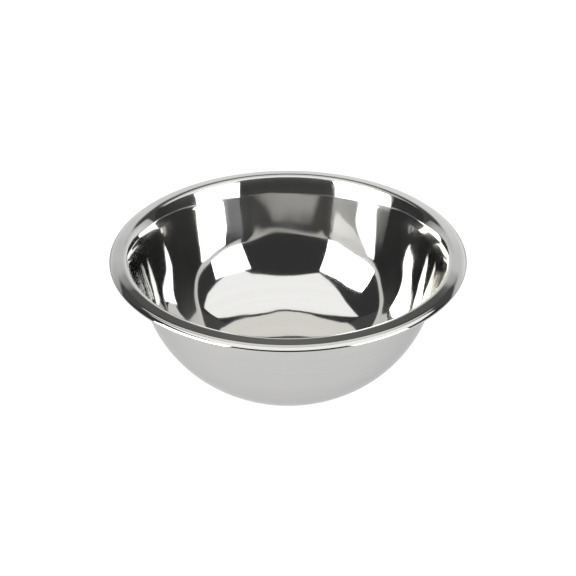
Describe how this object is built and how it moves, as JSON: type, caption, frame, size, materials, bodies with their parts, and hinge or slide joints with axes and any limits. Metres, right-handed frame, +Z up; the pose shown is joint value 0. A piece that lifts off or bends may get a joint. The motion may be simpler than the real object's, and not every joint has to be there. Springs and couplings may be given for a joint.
{
  "type": "mixing bowl",
  "caption": "Round pressed stainless steel mixing bowl with a small flat base, curved wall, flared collar and a sloping flange whose edge is rolled under.",
  "frame": {"origin": "centre of the flat base's underside, where the bowl stands", "axes": "+Z up along the bowl's axis, out of its mouth; X and Y are any two directions across it"},
  "size_m": [0.24, 0.24, 0.0971],
  "materials": {
    "steel": "mirror polished inside with fine lines round the axis, bright polished outside"
  },
  "bodies": {
    "root": {"bowl": "steel"}
  },
  "joints": []
}
